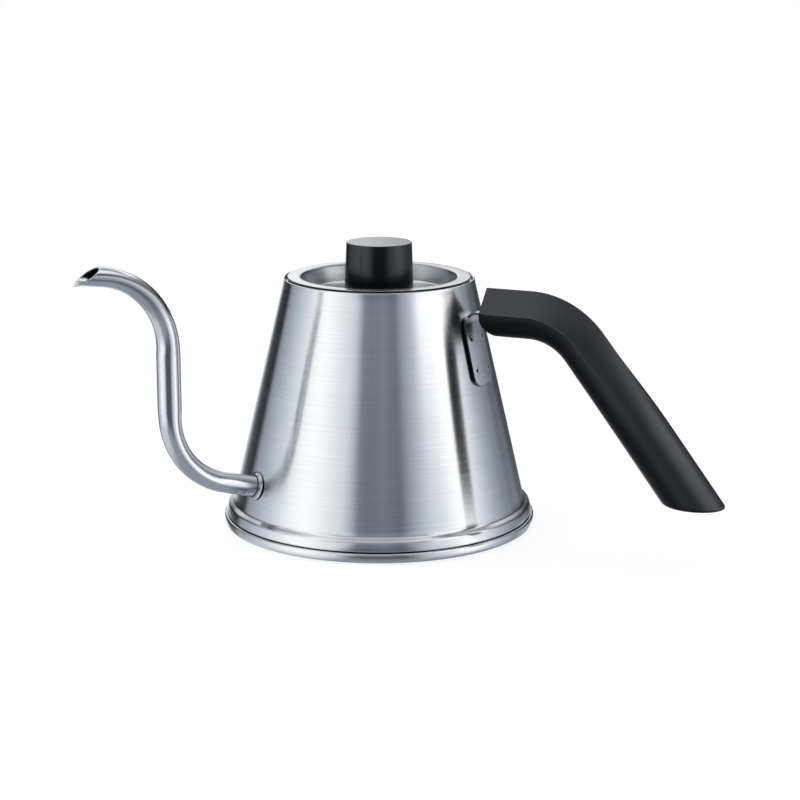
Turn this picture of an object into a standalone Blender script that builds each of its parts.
"""Pour-over gooseneck kettle: conical brushed steel body on a capsule base, thin bent spout,
black resin side handle on a spot-welded bracket, drop-in dished lid with a black knob.

Built in millimetres and scaled to metres, +Z up. The origin is the centre of the flat
underside. The spout leaves the body on the -X side and the handle on the +X side, each
turned toward -Y.

In names, _Z is a height and _OUT a distance from the kettle's axis, measured in the vertical
plane of the spout or of the handle.
"""

import math

import bmesh
import bpy
from mathutils import Matrix, Vector

for old in list(bpy.data.objects):
    bpy.data.objects.remove(old, do_unlink=True)

METRES_PER_MM = 0.001
CLEAR = 0.3          # gap left between neighbouring pieces
SEGMENTS = 48        # steps round the large turned pieces
SMALL_SEGMENTS = 24  # steps round screws, washers and the tube
HOLE_SEGMENTS = 16   # steps round the handle's screw holes
UP = Vector((0, 0, 1))

# ---- body: a straight cone rolled in at the mouth and flared at the foot
CONE_BASE_R = 67.30   # outer radius of the cone carried down to z = 0
CONE_TAPER = 0.23286  # radius lost per unit of height
CONE_LEAN = math.atan(CONE_TAPER)
SHEET = 0.90          # wall of the body
FOOT_Z = 4.95         # lower edge of the flared foot
FOOT_R = 67.90        # widest radius of the foot
FLARE_TOP_Z = 10.90   # where the foot meets the straight cone
CONE_STEPS = 6        # rows up the straight cone
MOUTH_R = 40.60       # radius of the neck that the lid rim drops into
CROWN_R = 41.35       # radius at the top of the rolled lip
CROWN_Z = 110.25
SHOULDER_Z = 107.00   # where the cone starts to roll over
LEDGE_Z = 108.20      # the ledge under the lid rim
LEDGE_R = 38.60
HEM_Z = 105.50        # lower edge of the ledge's turned-down hem

# ---- base: pan with a curled rim, aluminium core, steel cap with the flat underside
PAN_TOP_Z = 4.60
PAN_FLOOR = 1.00
RIM_R = 69.30
RIM_Z = 2.50
RIM_BOTTOM_Z = 0.25
CORE_R = 60.00
CORE_BOTTOM_Z, CORE_TOP_Z = 1.20, 3.30
CAP_R = 61.10
CAP_SHEET = 0.80

# ---- spout: straight root, bend, riser, bend, straight tip
SPOUT_AZIMUTH = math.radians(180 + 30.6)
TUBE_R = 5.05             # radius on the straight riser
TUBE_WALL = 0.80
# half height and half width of the tube's section
TUBE_RISER = (TUBE_R, TUBE_R)
TUBE_ROOT = (4.50, 4.50)  # where it is swaged to the collar
TUBE_BENT = (4.43, 5.25)  # the bends flatten the tube a little
TUBE_TIP = (4.27, 5.00)
TUBE_BEND_R = 33.20
ROOT_SLOPE = math.radians(14.0)
TIP_SLOPE = math.radians(8.0)
LOW_BEND_STEPS, HIGH_BEND_STEPS = 9, 10
RISER_OUT = 101.70
RISER_BOTTOM_Z, RISER_TOP_Z = 59.50, 88.40
ROOT_OUT = 59.40          # where the tube starts, just inside the wall
UPPER_LIP = (130.84, 125.60)  # (out, z)
LOWER_LIP = (142.54, 118.25)  # (out, z)
TIP_OVERRUN = 4.0         # tube drawn past the lower lip before the lip is cut
COLLAR_R = 6.20
COLLAR_LENGTH = 1.90
COLLAR_BORE_R = TUBE_ROOT[0] + CLEAR

# ---- handle bracket: a strip welded to the cone and bent out into a level tang
HANDLE_AZIMUTH = math.radians(-29.3)
PLATE_SHEET = 1.20
PLATE_W = 16.00
PLATE_BOTTOM_Z = 67.70
PLATE_CORNER = 4.50
TANG_W = 11.00
TANG_Z = 99.00            # middle of the tang's thickness
TANG_BEND_R = 4.00
TANG_END_OUT = 78.00
TANG_NOSE = 1.2           # rounding of the tang's end corners
SHOULDER_LENGTH = 6.5
SHOULDER_OVERLAP = 3.0    # how far the shoulders run into the bend
UNWRAP_LENGTH = 6.0       # plate below the bend over which its curve round the cone fades
WELD_Z = (74.20, 87.60)
WELD_SIDE = 5.10
WELD_R = 1.00
WELD_LIFT = 0.60 * WELD_R  # ball centre above the plate's face

# ---- handle grip
GRIP_ROOT_OUT = 52.60     # root face of the grip
GRIP_ROOT_Z = 100.10
GRIP_ROOT_SLOPE = math.radians(1.1)
GRIP_STRAIGHT = 21.00
GRIP_BEND_R = 32.20
GRIP_FALL_SLOPE = math.radians(-51.2)
GRIP_END_Z = 26.90        # height of the level cut at the lower end
GRIP_POINTS = 24          # corners of the section
MORPH_FALL = 45.0         # length past the bend at which the section is fully oval
RIDGE_UP, BELLY_DOWN = 9.50, 10.90   # ridge above, and belly below, the centre line
CREASE_HALF, EAVE_DROP = 8.25, 9.95  # half width at the creases, their drop below the ridge
BELLY_POWER = 0.8         # below 1 fills the belly out beyond an ellipse
END_THICK, END_HALF = 10.40, 11.00   # half thickness and half width of the lower end
END_RISE = 0.1            # oval's centre above the centre line
ROOT_EDGE = 0.45          # chamfer of the root face
GRIP_EDGE = 1.20          # rounding of the lower end
SLOT_W, SLOT_H = TANG_W + 2 * CLEAR, 2.10  # the tang's slot
NUT_SLOT_W, NUT_SLOT_H = 6.30, 5.20        # the channel above it for the nuts
SLOT_Z = TANG_Z - PLATE_SHEET / 2 - CLEAR  # floor of the slot
NUT_SLOT_LIFT = 0.05      # channel's floor above the slot's
SLOT_END_OUT = 79.40
NUT_SLOT_END_OUT = SLOT_END_OUT - 1.0
SLOT_OVERRUN = 4.0        # cutters start this far inside the root face
SEAT_DROP = 2.70          # resin left between the slot and the washer's seat

# ---- fixings; a head outline lists (inset from the head's radius, rise from its face)
M4_R, M4_HOLE_R = 2.00, 2.35
M3_R = 1.50
M3_HOLE_R = M3_R + CLEAR
SCREW_CHAMFER = 0.50
HANDLE_SCREW_OUT = {"front": 60.50, "rear": 70.50}
HANDLE_HEAD_H, HANDLE_HEAD_R = 2.00, 2.75
HANDLE_HEAD_OUTLINE = [(1.00, 0.0), (0.35, 0.35), (0.0, 0.95)]
HANDLE_CROSS = (3.2, 0.7, 2.4)  # length, width and height of a cross cutter
HANDLE_WASHER_H, HANDLE_WASHER_R = 0.50, 3.00
NUT_SIZE, NUT_H = 5.50, 1.80
SCREW_PAST_NUT = 0.60
KNOB_HEAD_H, KNOB_HEAD_R = 2.60, 3.80
KNOB_HEAD_OUTLINE = [(1.40, 0.0), (0.45, 0.45), (0.0, 1.30)]
KNOB_CROSS = (4.2, 0.9, 3.0)
KNOB_WASHER_H, KNOB_WASHER_R = 0.80, 4.50
CROSS_STEP = 0.1  # the second cross cutter is this much lower in height than the first

# ---- lid: pressed dish, retaining skirt and knob
LID_TOP_Z = 110.57
LID_R = MOUTH_R - 0.32
LID_SHEET = 0.80
LID_RIM_Z = 108.55
WELL_TOP_R = 34.20
WELL_FLOOR_R = 33.30
WELL_FLOOR_Z = 102.20
WELL_UNDER_Z = WELL_FLOOR_Z - LID_SHEET
WELL_FILLET = 1.20
VENT_R, VENT_Y = 1.25, 23.0
VENT_SEGMENTS = 12
SKIRT_R = 38.10
SKIRT_SHEET = 0.70
SKIRT_BOTTOM_Z = 98.00
SKIRT_TOP_Z = LID_TOP_Z - LID_SHEET - CLEAR
SKIRT_INNER_R = WELL_TOP_R + 1.60
KNOB_TOP_Z = 125.40
KNOB_BOTTOM_Z = WELL_FLOOR_Z + CLEAR
KNOB_TOP_R = 14.34
KNOB_BOTTOM_R = 15.25
KNOB_BEVEL = 0.45
KNOB_FOOT_BEVEL = 0.35
KNOB_BORE_R = 3.45
KNOB_BORE_TOP_Z = 113.40
INSERT_R = KNOB_BORE_R - CLEAR
INSERT_BOTTOM_Z = KNOB_BOTTOM_Z + 0.30
INSERT_TOP_Z = KNOB_BORE_TOP_Z - 1.20
INSERT_GROOVE = 0.30  # depth of the groove round the insert


# =========================================================================== helpers
def material(name, colour, metallic, roughness):
    mat = bpy.data.materials.new(name)
    mat.use_nodes = True
    shader = mat.node_tree.nodes["Principled BSDF"]
    shader.inputs["Base Color"].default_value = (*colour, 1.0)
    shader.inputs["Metallic"].default_value = metallic
    shader.inputs["Roughness"].default_value = roughness
    return mat


def finish(shape, name, mat=None, smooth=True):
    """Turns a bmesh in millimetres into a named object in metres, facing out."""
    bmesh.ops.remove_doubles(shape, verts=shape.verts, dist=1e-4)
    bmesh.ops.recalc_face_normals(shape, faces=shape.faces)
    if shape.calc_volume(signed=True) < 0:
        bmesh.ops.reverse_faces(shape, faces=shape.faces)
    bmesh.ops.scale(shape, vec=(METRES_PER_MM,) * 3, verts=shape.verts)
    mesh = bpy.data.meshes.new(name)
    shape.to_mesh(mesh)
    shape.free()
    obj = bpy.data.objects.new(name, mesh)
    bpy.context.scene.collection.objects.link(obj)
    if mat is not None:
        mesh.materials.append(mat)
    for polygon in mesh.polygons:
        polygon.use_smooth = smooth
    if smooth:
        mesh.set_sharp_from_angle(angle=math.radians(35))
    return obj


def cut(obj, shape, cutter_name, modifier_name):
    """Makes a hidden cutter of the shape and subtracts it from the object."""
    cutter = finish(shape, cutter_name, smooth=False)
    cutter.hide_render = True
    cutter.display_type = "WIRE"
    boolean = obj.modifiers.new(modifier_name, "BOOLEAN")
    boolean.operation = "DIFFERENCE"
    boolean.solver = "EXACT"
    boolean.object = cutter


def turn(profile, segments, matrix=None):
    """Turns a closed profile of (radius, height) corners round the Z axis. A profile that
    starts and ends on the axis is left open there and closes itself."""
    shape = bmesh.new()
    verts = [shape.verts.new((radius, 0.0, z)) for radius, z in profile]
    edges = [shape.edges.new(pair) for pair in zip(verts, verts[1:])]
    on_axis = profile[0][0] < 1e-6 and profile[-1][0] < 1e-6
    if not on_axis:
        edges.append(shape.edges.new((verts[-1], verts[0])))
    bmesh.ops.spin(
        shape,
        geom=verts + edges,
        cent=(0, 0, 0),
        axis=(0, 0, 1),
        angle=math.tau,
        steps=segments,
        use_merge=True,
        use_duplicate=False,
    )
    bmesh.ops.remove_doubles(shape, verts=shape.verts, dist=1e-4)
    if matrix is not None:
        bmesh.ops.transform(shape, matrix=matrix, verts=shape.verts)
    return shape


def cylinder(radius, bottom, top, segments=SMALL_SEGMENTS, matrix=None):
    return turn([(0, bottom), (radius, bottom), (radius, top), (0, top)], segments, matrix)


def box(size, centre, matrix=None):
    shape = bmesh.new()
    bmesh.ops.create_cube(shape, size=1.0)
    bmesh.ops.scale(shape, vec=size, verts=shape.verts)
    bmesh.ops.translate(shape, vec=centre, verts=shape.verts)
    if matrix is not None:
        bmesh.ops.transform(shape, matrix=matrix, verts=shape.verts)
    return shape


def loop_edges(shape, verts):
    """The edges that join a closed ring of vertices."""
    return [shape.edges.get(pair) for pair in zip(verts, verts[1:] + verts[:1])]


def loft(rings, closed_loop=False):
    """Extrudes the first ring of points through all the others. The ends are capped, or for
    a closed loop the last ring is joined back to the first."""
    shape = bmesh.new()
    verts = [shape.verts.new(point) for point in rings[0]]
    edges = [shape.edges.new(pair) for pair in zip(verts, verts[1:] + verts[:1])]
    first_edges = edges
    if not closed_loop:
        shape.faces.new(verts)
    for ring in rings[1:]:
        made = bmesh.ops.extrude_edge_only(shape, edges=edges)["geom"]
        following = {}
        for vert in (item for item in made if isinstance(item, bmesh.types.BMVert)):
            for edge in vert.link_edges:
                other = edge.other_vert(vert)
                if other in verts:
                    following[other] = vert
        verts = [following[vert] for vert in verts]
        edges = loop_edges(shape, verts)
        for vert, point in zip(verts, ring):
            vert.co = point
    if closed_loop:
        bmesh.ops.bridge_loops(shape, edges=edges + first_edges)
    else:
        shape.faces.new(verts)
    return shape


def arc(centre, radius, start, end, steps):
    """Points on an arc of a profile, angles in degrees."""
    points = []
    for i in range(steps + 1):
        angle = math.radians(start + (end - start) * i / steps)
        points.append(
            (centre[0] + radius * math.cos(angle), centre[1] + radius * math.sin(angle))
        )
    return points


def ease(share):
    """Smooth step from 0 to 1, held level outside that range."""
    share = min(1.0, max(0.0, share))
    return share * share * (3 - 2 * share)


def cone_r(z):
    return CONE_BASE_R - CONE_TAPER * z


def plane_axes(azimuth):
    """Unit vectors outward along, and sideways from, a vertical plane through the axis."""
    outward = Vector((math.cos(azimuth), math.sin(azimuth), 0))
    sideways = Vector((-math.sin(azimuth), math.cos(azimuth), 0))
    return outward, sideways


def slope_axes(outward, slope):
    """Unit vectors along, and square above, a line that slopes in a vertical plane."""
    tangent = math.cos(slope) * outward + math.sin(slope) * UP
    normal = -math.sin(slope) * outward + math.cos(slope) * UP
    return tangent, normal


def frame(x_axis, y_axis, z_axis, origin):
    """Matrix that places local coordinates on the given axes."""
    columns = [(*x_axis, 0), (*y_axis, 0), (*z_axis, 0), (*origin, 1)]
    return Matrix(columns).transposed()


def washer(name, radius, hole_r, top, height, matrix=None):
    bottom = top - height
    profile = [(hole_r, bottom), (radius, bottom), (radius, top), (hole_r, top)]
    return finish(turn(profile, SMALL_SEGMENTS, matrix), name, STEEL_SCREW)


def pan_screw(
    name, cutter_name, shank_r, head_r, head_h, outline, head_top, tip_z, cross, matrix=None
):
    """Screw pointing up, with a cross recess in the underside of its head."""
    face_z = head_top - head_h
    profile = [(0, face_z)]
    profile += [(head_r - inset, face_z + rise) for inset, rise in outline]
    profile += [
        (head_r, head_top),
        (shank_r, head_top),
        (shank_r, tip_z - SCREW_CHAMFER),
        (shank_r - SCREW_CHAMFER, tip_z),
        (0, tip_z),
    ]
    screw = finish(turn(profile, SMALL_SEGMENTS, matrix), name, STEEL_SCREW)
    length, width, height = cross
    sizes = {"a": (length, width, height), "b": (width, length, height - CROSS_STEP)}
    for letter, size in sizes.items():
        shape = box(size, (0, 0, face_z), matrix)
        cut(screw, shape, f"{cutter_name}_{letter}", f"cross_{letter}")
    return screw


# =========================================================================== materials
STEEL = material(
    "steel_brushed", colour=(0.62, 0.63, 0.65), metallic=1.0, roughness=0.30
)
STEEL_SATIN = material(
    "steel_satin", colour=(0.70, 0.71, 0.72), metallic=1.0, roughness=0.38
)
STEEL_TUBE = material(
    "steel_tube", colour=(0.60, 0.62, 0.64), metallic=1.0, roughness=0.24
)
STEEL_PLATE = material(
    "steel_plate", colour=(0.45, 0.47, 0.50), metallic=1.0, roughness=0.35
)
STEEL_SCREW = material(
    "steel_screw", colour=(0.66, 0.67, 0.68), metallic=1.0, roughness=0.28
)
ALUMINIUM = material(
    "aluminium_core", colour=(0.78, 0.79, 0.80), metallic=1.0, roughness=0.45
)
BRASS = material(
    "brass_insert", colour=(0.78, 0.60, 0.30), metallic=1.0, roughness=0.35
)
RESIN = material(
    "resin_black", colour=(0.022, 0.022, 0.024), metallic=0.0, roughness=0.45
)
RESIN_KNOB = material(
    "resin_black_knob", colour=(0.016, 0.016, 0.017), metallic=0.0, roughness=0.35
)


# =========================================================================== body shell
def build_body_shell():
    """All points are (radius, height), up the outside and back down the inside."""
    foot = [
        (FOOT_R - 0.30, FOOT_Z),
        (FOOT_R, FOOT_Z + 0.75),
        (FOOT_R - 0.25, FOOT_Z + 1.75),
        (FOOT_R - 1.05, FOOT_Z + 3.20),
        (FOOT_R - 2.05, FOOT_Z + 4.55),
        (cone_r(FLARE_TOP_Z) + 0.30, FLARE_TOP_Z - 0.45),
    ]
    cone_height = SHOULDER_Z - FLARE_TOP_Z
    heights = [FLARE_TOP_Z + cone_height * i / CONE_STEPS for i in range(CONE_STEPS + 1)]
    cone = [(cone_r(z), z) for z in heights]
    lip = [
        (CROWN_R + 0.98, SHOULDER_Z + 1.30),
        (CROWN_R + 0.70, CROWN_Z - 0.75),
        (CROWN_R + 0.35, CROWN_Z - 0.15),
        (CROWN_R, CROWN_Z),
        (CROWN_R - 0.45, CROWN_Z - 0.20),
        (MOUTH_R, CROWN_Z - 0.75),
    ]
    ledge_and_hem = [
        (MOUTH_R, LEDGE_Z),
        (LEDGE_R + 0.30, LEDGE_Z),
        (LEDGE_R, LEDGE_Z - 0.35),
        (LEDGE_R, HEM_Z),
        (LEDGE_R + SHEET, HEM_Z),
        (LEDGE_R + SHEET, LEDGE_Z - SHEET),
        (MOUTH_R + SHEET - 0.35, LEDGE_Z - SHEET),
        (MOUTH_R + SHEET - 0.25, LEDGE_Z - 1.60),
    ]
    inside = [
        (cone_r(SHOULDER_Z) - SHEET, SHOULDER_Z - 1.60),
        (cone_r(60.0) - SHEET, 60.0),
        (cone_r(FLARE_TOP_Z) - SHEET, FLARE_TOP_Z),
        (FOOT_R - 2.95, FOOT_Z + 4.10),
        (FOOT_R - 1.95, FOOT_Z + 2.75),
        (FOOT_R - 1.25, FOOT_Z + 1.40),
        (FOOT_R - 1.15, FOOT_Z),
    ]
    profile = foot + cone + lip + ledge_and_hem + inside
    return finish(turn(profile, SEGMENTS), "body_shell", STEEL)


# =========================================================================== base
def build_base_pan():
    """Flat disc whose rim curls down, under and back up."""
    profile = [
        (0, PAN_TOP_Z),
        (FOOT_R + 0.10, PAN_TOP_Z),
        (RIM_R - 0.65, PAN_TOP_Z - 0.40),
        (RIM_R - 0.15, PAN_TOP_Z - 1.20),
        (RIM_R, RIM_Z),
        (RIM_R - 0.20, RIM_BOTTOM_Z + 1.05),
        (RIM_R - 0.75, RIM_BOTTOM_Z + 0.30),
        (RIM_R - 1.60, RIM_BOTTOM_Z),
        (RIM_R - 2.40, RIM_BOTTOM_Z + 0.30),
        (RIM_R - 2.20, RIM_BOTTOM_Z + 1.00),
        (RIM_R - 1.35, RIM_BOTTOM_Z + 1.30),
        (RIM_R - 1.05, RIM_Z),
        (RIM_R - 1.45, PAN_TOP_Z - PAN_FLOOR),
        (0, PAN_TOP_Z - PAN_FLOOR),
    ]
    finish(turn(profile, SEGMENTS), "base_pan", STEEL)


def build_base_core():
    core = cylinder(CORE_R, CORE_BOTTOM_Z, CORE_TOP_Z, SEGMENTS)
    finish(core, "base_core", ALUMINIUM)


def build_base_cap():
    """Shallow cup round the core."""
    floor_z = CAP_SHEET + 0.10
    profile = [
        (0, 0),
        (CAP_R - 0.80, 0),
        (CAP_R - 0.20, 0.25),
        (CAP_R, 0.80),
        (CAP_R, CORE_TOP_Z),
        (CAP_R - CAP_SHEET, CORE_TOP_Z),
        (CAP_R - CAP_SHEET, floor_z),
        (0, floor_z),
    ]
    finish(turn(profile, SEGMENTS), "base_cap", STEEL_SATIN)


# =========================================================================== spout
SPOUT_OUTWARD, SPOUT_SIDE = plane_axes(SPOUT_AZIMUTH)

LOW_BEND_OUT = RISER_OUT - TUBE_BEND_R   # centre of the lower bend
HIGH_BEND_OUT = RISER_OUT + TUBE_BEND_R  # centre of the upper bend
LOW_BEND_START_OUT = LOW_BEND_OUT + TUBE_BEND_R * math.sin(ROOT_SLOPE)
LOW_BEND_START_Z = RISER_BOTTOM_Z - TUBE_BEND_R * math.cos(ROOT_SLOPE)
ROOT_Z = LOW_BEND_START_Z - (LOW_BEND_START_OUT - ROOT_OUT) * math.tan(ROOT_SLOPE)


def blend_section(first, second, share):
    return tuple(start + (end - start) * ease(share) for start, end in zip(first, second))


def spout_stations():
    """(distance out, height, slope, half sizes of the section) along the tube."""
    middle = ((ROOT_OUT + LOW_BEND_START_OUT) / 2, (ROOT_Z + LOW_BEND_START_Z) / 2)
    stations = [
        (ROOT_OUT, ROOT_Z, ROOT_SLOPE, TUBE_ROOT),
        (*middle, ROOT_SLOPE, TUBE_ROOT),
    ]
    # Lower bend: flattens over its first 0.4, then starts to round out again at 0.6.
    for i in range(LOW_BEND_STEPS + 1):
        share = i / LOW_BEND_STEPS
        slope = ROOT_SLOPE + (math.pi / 2 - ROOT_SLOPE) * share
        section = blend_section(TUBE_ROOT, TUBE_BENT, share / 0.4)
        section = blend_section(section, TUBE_RISER, (share - 0.6) / 0.7)
        out = LOW_BEND_OUT + TUBE_BEND_R * math.sin(slope)
        z = RISER_BOTTOM_Z - TUBE_BEND_R * math.cos(slope)
        stations.append((out, z, slope, section))
    stations.append(
        (RISER_OUT, (RISER_BOTTOM_Z + RISER_TOP_Z) / 2, math.pi / 2, TUBE_RISER)
    )
    # Upper bend: already flattening at its start, then shrinks to the tip from 0.5 on.
    for i in range(HIGH_BEND_STEPS + 1):
        share = i / HIGH_BEND_STEPS
        slope = math.pi / 2 - (math.pi / 2 - TIP_SLOPE) * share
        section = blend_section(TUBE_RISER, TUBE_BENT, (share + 0.25) / 0.65)
        section = blend_section(section, TUBE_TIP, (share - 0.5) / 0.5)
        out = HIGH_BEND_OUT - TUBE_BEND_R * math.sin(slope)
        z = RISER_TOP_Z + TUBE_BEND_R * math.cos(slope)
        stations.append((out, z, slope, section))
    end_out = LOWER_LIP[0] + TIP_OVERRUN
    bend_end_out, bend_end_z = stations[-1][:2]
    end_z = bend_end_z + (end_out - bend_end_out) * math.tan(TIP_SLOPE)
    stations.append((end_out, end_z, TIP_SLOPE, TUBE_TIP))
    return stations


def tube_ring(station, wall):
    """Ring of points round the tube, drawn in by the wall."""
    out, z, slope, (half_height, half_width) = station
    normal = slope_axes(SPOUT_OUTWARD, slope)[1]
    centre = out * SPOUT_OUTWARD + z * UP
    ring = []
    for i in range(SMALL_SEGMENTS):
        angle = math.tau * i / SMALL_SEGMENTS
        ring.append(
            centre
            + (half_height - wall) * math.cos(angle) * normal
            + (half_width - wall) * math.sin(angle) * SPOUT_SIDE
        )
    return ring


def build_spout_tube():
    stations = spout_stations()
    rings = [tube_ring(station, 0.0) for station in stations]
    rings += [tube_ring(station, TUBE_WALL) for station in reversed(stations)]
    tube = finish(loft(rings, closed_loop=True), "spout_tube", STEEL_TUBE)

    # The pouring lip is a plane cut from the upper lip down to the longer lower lip.
    (upper_out, upper_z), (lower_out, lower_z) = UPPER_LIP, LOWER_LIP
    angle = math.atan2(lower_z - upper_z, lower_out - upper_out)
    along, normal = slope_axes(SPOUT_OUTWARD, angle)
    middle = (upper_out + lower_out) / 2 * SPOUT_OUTWARD + (upper_z + lower_z) / 2 * UP
    tip_box = box((34, 30, 20), (0, 0, 10), frame(along, SPOUT_SIDE, normal, middle))
    cut(tube, tip_box, "spout_tip_cutter", "tip")


def spout_root_frame():
    """Frame with Z out along the tube's root and its origin where that crosses the wall."""
    tangent, normal = slope_axes(SPOUT_OUTWARD, ROOT_SLOPE)
    closing = math.cos(ROOT_SLOPE) + CONE_TAPER * math.sin(ROOT_SLOPE)
    reach = (cone_r(ROOT_Z) - ROOT_OUT) / closing
    wall_point = ROOT_OUT * SPOUT_OUTWARD + ROOT_Z * UP + reach * tangent
    return frame(normal, SPOUT_SIDE, tangent, wall_point)


def build_spout_collar(body):
    """Collar round the tube's root, and the hole through the body behind it."""
    root_frame = spout_root_frame()
    profile = [
        (COLLAR_BORE_R, CLEAR),
        (COLLAR_R - 0.20, CLEAR),
        (COLLAR_R, CLEAR + 0.30),
        (COLLAR_R, CLEAR + 0.75),
        (COLLAR_R - 0.30, CLEAR + 1.10),
        (COLLAR_BORE_R + 0.45, CLEAR + 1.25),
        (COLLAR_BORE_R + 0.30, COLLAR_LENGTH),
        (COLLAR_BORE_R, COLLAR_LENGTH),
    ]
    finish(turn(profile, SMALL_SEGMENTS, root_frame), "spout_collar", STEEL_TUBE)
    hole = cylinder(COLLAR_BORE_R, -6, 6, matrix=root_frame)
    cut(body, hole, "spout_hole_cutter", "spout_hole")


# =========================================================================== handle bracket
HANDLE_OUTWARD, HANDLE_SIDE = plane_axes(HANDLE_AZIMUTH)

# Developed lengths of the strip: up the cone, round the bend, out along the tang.
STRIP_SWING = math.pi / 2 + CONE_LEAN  # the bend from the leaning wall to the level tang
STRIP_TANGENT = TANG_BEND_R * math.tan(STRIP_SWING / 2)
STRIP_CORNER_OUT = cone_r(TANG_Z) + (CLEAR + PLATE_SHEET / 2) / math.cos(CONE_LEAN)
BEND_START = (TANG_Z - PLATE_BOTTOM_Z) / math.cos(CONE_LEAN) - STRIP_TANGENT
BEND_ARC = TANG_BEND_R * STRIP_SWING
BEND_END = BEND_START + BEND_ARC
BEND_CENTRE_OUT = STRIP_CORNER_OUT + STRIP_TANGENT
STRIP_END = BEND_END + TANG_END_OUT - BEND_CENTRE_OUT
SHOULDER_START = BEND_START - SHOULDER_LENGTH + SHOULDER_OVERLAP
SHOULDER_END = SHOULDER_START + SHOULDER_LENGTH


def strip_path(along):
    """(distance out, height, slope) of the bracket's middle line at a developed length."""
    if along <= BEND_START:
        run = along - BEND_START - STRIP_TANGENT
        out = STRIP_CORNER_OUT - math.sin(CONE_LEAN) * run
        return out, TANG_Z + math.cos(CONE_LEAN) * run, STRIP_SWING
    if along <= BEND_END:
        slope = STRIP_SWING - (along - BEND_START) / TANG_BEND_R
        out = BEND_CENTRE_OUT - TANG_BEND_R * math.sin(slope)
        return out, TANG_Z - TANG_BEND_R + TANG_BEND_R * math.cos(slope), slope
    return BEND_CENTRE_OUT + along - BEND_END, TANG_Z, 0.0


def quadrant(share):
    """Height of a unit quarter circle, from 1 at share 0 down to 0 at share 1."""
    return math.sqrt(1.0 - share * share)


def strip_half_width(along):
    """Half the width of the flat pattern: round lower corners, wide plate, sloping shoulders,
    narrow tang with a rounded nose."""
    wide, narrow = PLATE_W / 2, TANG_W / 2
    if along < PLATE_CORNER:
        return wide - PLATE_CORNER + PLATE_CORNER * quadrant(1.0 - along / PLATE_CORNER)
    if along < SHOULDER_START:
        return wide
    if along < SHOULDER_END:
        share = (along - SHOULDER_START) / SHOULDER_LENGTH
        return narrow + (wide - narrow) * quadrant(share)
    if along > STRIP_END - TANG_NOSE:
        share = 1.0 - (STRIP_END - along) / TANG_NOSE
        return narrow - TANG_NOSE + TANG_NOSE * quadrant(share)
    return narrow


def strip_point(across, along, lift):
    """A point of the bracket; lift is through the thickness, positive away from the body on
    the plate. The plate is wrapped round the cone and the tang is flat."""
    out, z, slope = strip_path(along)
    lifted_out = out + lift * math.sin(slope)
    lifted_z = z - lift * math.cos(slope)
    flat = lifted_out * HANDLE_OUTWARD + across * HANDLE_SIDE + lifted_z * UP
    angle = across / out
    radial = math.cos(angle) * HANDLE_OUTWARD + math.sin(angle) * HANDLE_SIDE
    wrapped = lifted_out * radial + lifted_z * UP
    share = (along - (BEND_START - UNWRAP_LENGTH)) / (UNWRAP_LENGTH + BEND_ARC)
    return wrapped.lerp(flat, ease(share))


def strip_rows():
    """Developed lengths of the rows of vertices along the strip."""
    plate = SHOULDER_START - PLATE_CORNER
    rows = [0.0, 0.35, 1.2, 2.6, PLATE_CORNER]
    rows += [PLATE_CORNER + plate * i / 3 for i in (1, 2, 3)]
    rows += [
        SHOULDER_START + SHOULDER_LENGTH * share
        for share in (0.25, 0.5, 0.7, 0.85, 0.95, 1.0)
    ]
    # Only bend rows clear of the last shoulder row are added.
    bend_rows = [BEND_START + BEND_ARC * i / 7 for i in range(8)]
    rows += [row for row in bend_rows if row > SHOULDER_END + 0.25]
    rows += [STRIP_END - back for back in (TANG_NOSE, 0.6, 0.15, 0.0)]
    return rows


def build_bracket():
    columns = [-1.0, -0.72, -0.4, 0.0, 0.4, 0.72, 1.0]  # shares of the half width
    rows = strip_rows()
    shape = bmesh.new()
    grid = bmesh.ops.create_grid(
        shape, x_segments=len(columns) - 1, y_segments=len(rows) - 1, size=1.0
    )["verts"]
    grid.sort(key=lambda vert: (round(vert.co.y, 4), round(vert.co.x, 4)))
    for index, vert in enumerate(grid):
        row, column = divmod(index, len(columns))
        vert.co = (strip_half_width(rows[row]) * columns[column], rows[row], 0.0)
    made = bmesh.ops.extrude_face_region(shape, geom=list(shape.faces))["geom"]
    for vert in (item for item in made if isinstance(item, bmesh.types.BMVert)):
        vert.co.z = PLATE_SHEET
    for vert in shape.verts:
        across, along, lift = vert.co
        vert.co = strip_point(across, along, lift - PLATE_SHEET / 2)
    bracket = finish(shape, "handle_bracket", STEEL_PLATE)
    cut_welds(bracket)
    for index, out in enumerate(HANDLE_SCREW_OUT.values()):
        place = Matrix.Translation(out * HANDLE_OUTWARD)
        hole = cylinder(M3_HOLE_R, TANG_Z - 4, TANG_Z + 4, HOLE_SEGMENTS, place)
        cut(bracket, hole, f"tang_hole_cutter_{index}", f"tang_hole_{index}")


def cut_welds(bracket):
    """Four spot-weld dimples in the plate."""
    for row, weld_z in enumerate(WELD_Z):
        face_r = cone_r(weld_z) + (CLEAR + PLATE_SHEET) / math.cos(CONE_LEAN)
        for column, side in enumerate((-WELD_SIDE, WELD_SIDE)):
            angle = side / face_r
            radial = math.cos(angle) * HANDLE_OUTWARD + math.sin(angle) * HANDLE_SIDE
            normal = slope_axes(radial, CONE_LEAN)[0]
            centre = face_r * radial + weld_z * UP + normal * WELD_LIFT
            ball = bmesh.new()
            bmesh.ops.create_uvsphere(ball, u_segments=10, v_segments=6, radius=WELD_R)
            bmesh.ops.translate(ball, vec=centre, verts=ball.verts)
            cut(bracket, ball, f"weld_cutter_{row}_{column}", f"weld_{row}_{column}")


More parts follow.
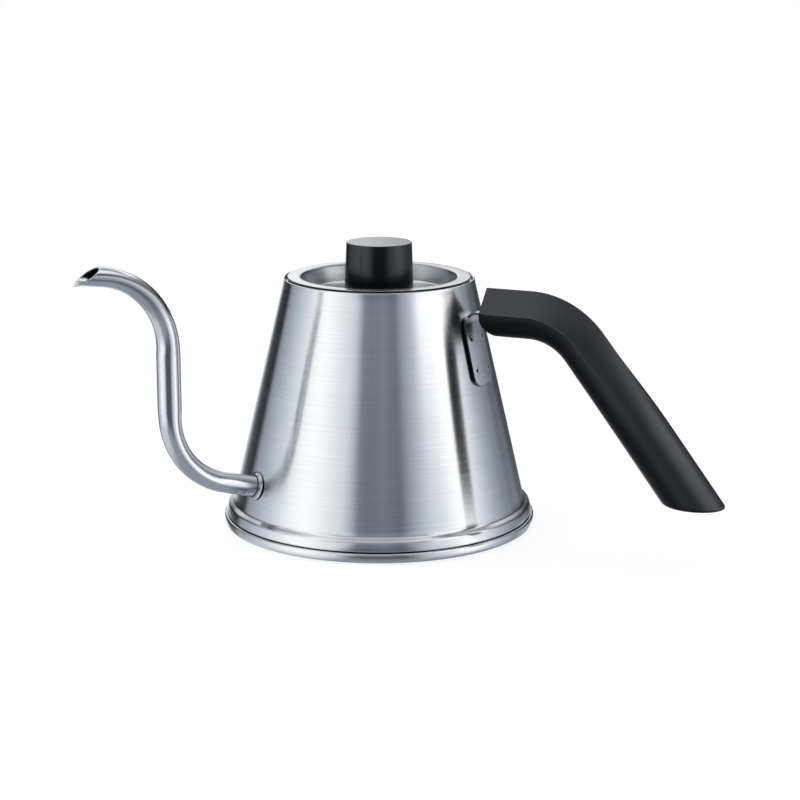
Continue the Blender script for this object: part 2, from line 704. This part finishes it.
# =========================================================================== handle grip
GRIP_BEND_LENGTH = GRIP_BEND_R * (GRIP_ROOT_SLOPE - GRIP_FALL_SLOPE)
GRIP_BEND_END = GRIP_STRAIGHT + GRIP_BEND_LENGTH
GRIP_BEND_OUT = GRIP_ROOT_OUT + GRIP_STRAIGHT * math.cos(GRIP_ROOT_SLOPE)
GRIP_BEND_Z = GRIP_ROOT_Z + GRIP_STRAIGHT * math.sin(GRIP_ROOT_SLOPE)


def grip_bend(slope):
    """(distance out, height, slope) where the bend has reached a slope."""
    out = GRIP_BEND_OUT + GRIP_BEND_R * (math.sin(GRIP_ROOT_SLOPE) - math.sin(slope))
    z = GRIP_BEND_Z + GRIP_BEND_R * (math.cos(slope) - math.cos(GRIP_ROOT_SLOPE))
    return out, z, slope


FALL_OUT, FALL_Z, _ = grip_bend(GRIP_FALL_SLOPE)
GRIP_LENGTH = GRIP_BEND_END + (FALL_Z - GRIP_END_Z) / math.sin(-GRIP_FALL_SLOPE)


def grip_path(along):
    """(distance out, height, slope) of the grip's centre line."""
    if along < GRIP_STRAIGHT:
        out = GRIP_ROOT_OUT + along * math.cos(GRIP_ROOT_SLOPE)
        return out, GRIP_ROOT_Z + along * math.sin(GRIP_ROOT_SLOPE), GRIP_ROOT_SLOPE
    if along < GRIP_BEND_END:
        return grip_bend(GRIP_ROOT_SLOPE - (along - GRIP_STRAIGHT) / GRIP_BEND_R)
    run = along - GRIP_BEND_END
    out = FALL_OUT + run * math.cos(GRIP_FALL_SLOPE)
    return out, FALL_Z + run * math.sin(GRIP_FALL_SLOPE), GRIP_FALL_SLOPE


def grip_outline(along):
    """(across, up) corners of the section: a ridged roof over a round belly at the root,
    turning into an oval toward the lower end."""
    oval = ease((along - GRIP_STRAIGHT) / (GRIP_BEND_LENGTH + MORPH_FALL))
    crease_up = RIDGE_UP - EAVE_DROP
    outline = []
    for i in range(GRIP_POINTS):
        share = i / GRIP_POINTS
        mirrored, sign = (share, 1.0) if share <= 0.5 else (1.0 - share, -1.0)
        quarters = 4 * mirrored  # 0 at the ridge, 1 at the crease, 2 under the belly
        if quarters <= 1:
            root_across = CREASE_HALF * quarters
            root_up = RIDGE_UP - EAVE_DROP * quarters
        else:
            angle = (quarters - 1) * math.pi / 2
            root_across = CREASE_HALF * math.cos(angle) ** BELLY_POWER
            root_up = crease_up - (crease_up + BELLY_DOWN) * math.sin(angle) ** BELLY_POWER
        angle = math.tau * share
        end_across = END_HALF * math.sin(angle)
        end_up = END_THICK * math.cos(angle) + END_RISE
        outline.append(
            (
                (1 - oval) * sign * root_across + oval * end_across,
                (1 - oval) * root_up + oval * end_up,
            )
        )
    return outline


def grip_ring(along, shrink=0.0):
    out, z, slope = grip_path(along)
    centre = out * HANDLE_OUTWARD + z * UP
    normal = slope_axes(HANDLE_OUTWARD, slope)[1]
    ring = []
    for across, rise in grip_outline(along):
        reach = math.hypot(across, rise)
        scale = (reach - shrink) / reach
        ring.append(centre + across * scale * HANDLE_SIDE + rise * scale * normal)
    return ring


def level_ring(height, inset):
    """The lower end's outline at a level plane, drawn in by inset."""
    tangent = slope_axes(HANDLE_OUTWARD, GRIP_FALL_SLOPE)[0]
    ring = [
        point + tangent * ((height - point.z) / tangent.z)
        for point in grip_ring(GRIP_LENGTH)
    ]
    middle = sum(ring, Vector()) / len(ring)
    return [point + (middle - point).normalized() * inset for point in ring]


def grip_rings():
    rings = [grip_ring(0.0, ROOT_EDGE), grip_ring(ROOT_EDGE)]
    rings += [grip_ring(along) for along in (7.0, 14.0, GRIP_STRAIGHT)]
    rings += [grip_ring(GRIP_STRAIGHT + GRIP_BEND_LENGTH * i / 8) for i in range(1, 9)]
    # The square sections stop short so that none of them reaches the level cut.
    sweep_end = GRIP_LENGTH - (END_THICK + 3.0) / math.tan(-GRIP_FALL_SLOPE) - 1.5
    sweep = sweep_end - GRIP_BEND_END
    rings += [grip_ring(GRIP_BEND_END + sweep * i / 6) for i in range(1, 7)]
    for share in (0.0, 0.35, 0.7, 1.0):
        angle = share * math.pi / 2
        height = GRIP_END_Z + GRIP_EDGE * (1 - math.sin(angle))
        rings.append(level_ring(height, GRIP_EDGE * (1 - math.cos(angle))))
    return rings


HANDLE_FRAME = frame(HANDLE_OUTWARD, HANDLE_SIDE, UP, (0, 0, 0))
SEAT_Z = SLOT_Z - SEAT_DROP  # face the washers bear on


def slot(end_out, width, bottom, height):
    """Box that runs level from inside the root face of the grip."""
    start_out = GRIP_ROOT_OUT - SLOT_OVERRUN
    size = (end_out - start_out, width, height)
    return box(size, ((end_out + start_out) / 2, 0, bottom + height / 2), HANDLE_FRAME)


def build_grip():
    grip = finish(loft(grip_rings()), "handle_grip", RESIN)
    cut(grip, slot(SLOT_END_OUT, SLOT_W, SLOT_Z, SLOT_H), "slot_cutter", "slot")
    channel = slot(NUT_SLOT_END_OUT, NUT_SLOT_W, SLOT_Z + NUT_SLOT_LIFT, NUT_SLOT_H)
    cut(grip, channel, "channel_cutter", "channel")
    for index, out in enumerate(HANDLE_SCREW_OUT.values()):
        place = Matrix.Translation(out * HANDLE_OUTWARD)
        well = cylinder(HANDLE_WASHER_R + CLEAR, SEAT_Z - 20, SEAT_Z, matrix=place)
        cut(grip, well, f"seat_cutter_{index}", f"seat_{index}")
        hole = cylinder(M3_HOLE_R, SEAT_Z - 1, SLOT_Z + 1, HOLE_SEGMENTS, place)
        cut(grip, hole, f"screw_hole_cutter_{index}", f"screw_hole_{index}")


def build_handle_fixings(end, out):
    """Washer, screw and square nut at one of the two screw places."""
    place = Matrix.Translation(out * HANDLE_OUTWARD)
    washer_top = SEAT_Z - CLEAR
    washer(
        f"handle_washer_{end}",
        radius=HANDLE_WASHER_R,
        hole_r=M3_HOLE_R,
        top=washer_top,
        height=HANDLE_WASHER_H,
        matrix=place,
    )
    nut_bottom = TANG_Z + PLATE_SHEET / 2 + CLEAR
    pan_screw(
        f"handle_screw_{end}",
        f"cross_cutter_{end}",
        shank_r=M3_R,
        head_r=HANDLE_HEAD_R,
        head_h=HANDLE_HEAD_H,
        outline=HANDLE_HEAD_OUTLINE,
        head_top=washer_top - HANDLE_WASHER_H - CLEAR,
        tip_z=nut_bottom + NUT_H + SCREW_PAST_NUT,
        cross=HANDLE_CROSS,
        matrix=place,
    )
    nut_z = nut_bottom + NUT_H / 2
    nut_box = box((NUT_SIZE, NUT_SIZE, NUT_H), (out, 0, nut_z), HANDLE_FRAME)
    nut = finish(nut_box, f"handle_nut_{end}", STEEL_SCREW, smooth=False)
    bore = cylinder(M3_HOLE_R, nut_z - 4, nut_z + 4, HOLE_SEGMENTS, place)
    cut(nut, bore, f"nut_cutter_{end}", "bore")


# =========================================================================== lid
def build_lid_pan():
    """Dish with a flat rim; points run out along the top and back along the underside."""
    fillet_centre = (WELL_FLOOR_R - WELL_FILLET, WELL_FLOOR_Z + WELL_FILLET)
    profile = [(M4_HOLE_R, WELL_FLOOR_Z), (WELL_FLOOR_R - WELL_FILLET, WELL_FLOOR_Z)]
    profile += arc(fillet_centre, WELL_FILLET, start=-60, end=0, steps=2)
    profile += [
        (WELL_TOP_R - 0.12, LID_TOP_Z - 0.95),
        (WELL_TOP_R + 0.20, LID_TOP_Z - 0.30),
        (WELL_TOP_R + 0.85, LID_TOP_Z),
        (LID_R - 0.75, LID_TOP_Z),
        (LID_R - 0.22, LID_TOP_Z - 0.22),
        (LID_R, LID_TOP_Z - 0.75),
        (LID_R, LID_RIM_Z),
        (LID_R - LID_SHEET, LID_RIM_Z),
        (LID_R - LID_SHEET, LID_TOP_Z - LID_SHEET),
        (WELL_TOP_R + 1.05, LID_TOP_Z - LID_SHEET),
        (WELL_TOP_R + 0.70, LID_TOP_Z - 1.25),
        (WELL_FLOOR_R + LID_SHEET, WELL_FLOOR_Z + WELL_FILLET),
    ]
    profile += arc(fillet_centre, WELL_FILLET + LID_SHEET, start=-30, end=-90, steps=2)
    profile += [(M4_HOLE_R, WELL_UNDER_Z)]
    pan = finish(turn(profile, SEGMENTS), "lid_pan", STEEL_SATIN)
    place = Matrix.Translation((0, VENT_Y, 0))
    vent = cylinder(VENT_R, WELL_UNDER_Z - 2, WELL_FLOOR_Z + 2, VENT_SEGMENTS, place)
    cut(pan, vent, "vent_cutter", "vent")
    return pan


def build_lid_skirt():
    profile = [
        (SKIRT_INNER_R, SKIRT_TOP_Z),
        (SKIRT_R - 0.30, SKIRT_TOP_Z),
        (SKIRT_R, SKIRT_TOP_Z - 0.30),
        (SKIRT_R, SKIRT_BOTTOM_Z + 1.2),
        (SKIRT_R - 0.35, SKIRT_BOTTOM_Z),
        (SKIRT_R - 0.35 - SKIRT_SHEET, SKIRT_BOTTOM_Z),
        (SKIRT_R - SKIRT_SHEET, SKIRT_BOTTOM_Z + 1.2),
        (SKIRT_R - SKIRT_SHEET, SKIRT_TOP_Z - SKIRT_SHEET),
        (SKIRT_INNER_R, SKIRT_TOP_Z - SKIRT_SHEET),
    ]
    return finish(turn(profile, SEGMENTS), "lid_skirt", STEEL_SATIN)


def build_knob():
    profile = [
        (0, KNOB_BORE_TOP_Z),
        (KNOB_BORE_R, KNOB_BORE_TOP_Z),
        (KNOB_BORE_R, KNOB_BOTTOM_Z),
        (KNOB_BOTTOM_R - KNOB_FOOT_BEVEL, KNOB_BOTTOM_Z),
        (KNOB_BOTTOM_R, KNOB_BOTTOM_Z + KNOB_FOOT_BEVEL),
        (KNOB_TOP_R, KNOB_TOP_Z - KNOB_BEVEL),
        (KNOB_TOP_R - KNOB_BEVEL * 0.3, KNOB_TOP_Z - KNOB_BEVEL * 0.3),
        (KNOB_TOP_R - KNOB_BEVEL, KNOB_TOP_Z),
        (0, KNOB_TOP_Z),
    ]
    return finish(turn(profile, SEGMENTS), "knob", RESIN_KNOB)


def build_knob_insert():
    """Threadless sleeve with a groove round its waist."""
    waist_z = (INSERT_BOTTOM_Z + INSERT_TOP_Z) / 2
    profile = [
        (M4_HOLE_R, INSERT_BOTTOM_Z),
        (INSERT_R, INSERT_BOTTOM_Z),
        (INSERT_R, waist_z - 1.0),
        (INSERT_R - INSERT_GROOVE, waist_z - 0.6),
        (INSERT_R - INSERT_GROOVE, waist_z + 0.6),
        (INSERT_R, waist_z + 1.0),
        (INSERT_R, INSERT_TOP_Z),
        (M4_HOLE_R, INSERT_TOP_Z),
    ]
    return finish(turn(profile, SMALL_SEGMENTS), "knob_insert", BRASS)


def build_knob_fixings():
    """Washer and screw under the well's floor."""
    washer_top = WELL_UNDER_Z - CLEAR
    knob_washer = washer(
        "knob_washer",
        radius=KNOB_WASHER_R,
        hole_r=M4_HOLE_R,
        top=washer_top,
        height=KNOB_WASHER_H,
    )
    knob_screw = pan_screw(
        "knob_screw",
        "knob_cross_cutter",
        shank_r=M4_R,
        head_r=KNOB_HEAD_R,
        head_h=KNOB_HEAD_H,
        outline=KNOB_HEAD_OUTLINE,
        head_top=washer_top - KNOB_WASHER_H - CLEAR,
        tip_z=INSERT_TOP_Z - 0.50,
        cross=KNOB_CROSS,
    )
    return [knob_washer, knob_screw]


def build_lid():
    """All lid pieces, with their origins on the lift axis at the height of the seat."""
    seat_z = LEDGE_Z * METRES_PER_MM
    lid_axis = bpy.data.objects.new("lid_axis", None)
    lid_axis.location = (0, 0, seat_z)
    bpy.context.scene.collection.objects.link(lid_axis)
    pieces = [build_lid_pan(), build_lid_skirt(), build_knob(), build_knob_insert()]
    for piece in pieces + build_knob_fixings():
        piece.data.transform(Matrix.Translation((0, 0, -seat_z)))
        piece.parent = lid_axis


# =========================================================================== assembly
body_shell = build_body_shell()
build_base_pan()
build_base_core()
build_base_cap()
build_spout_tube()
build_spout_collar(body_shell)
build_bracket()
build_grip()
for end_name, screw_out in HANDLE_SCREW_OUT.items():
    build_handle_fixings(end_name, screw_out)
build_lid()
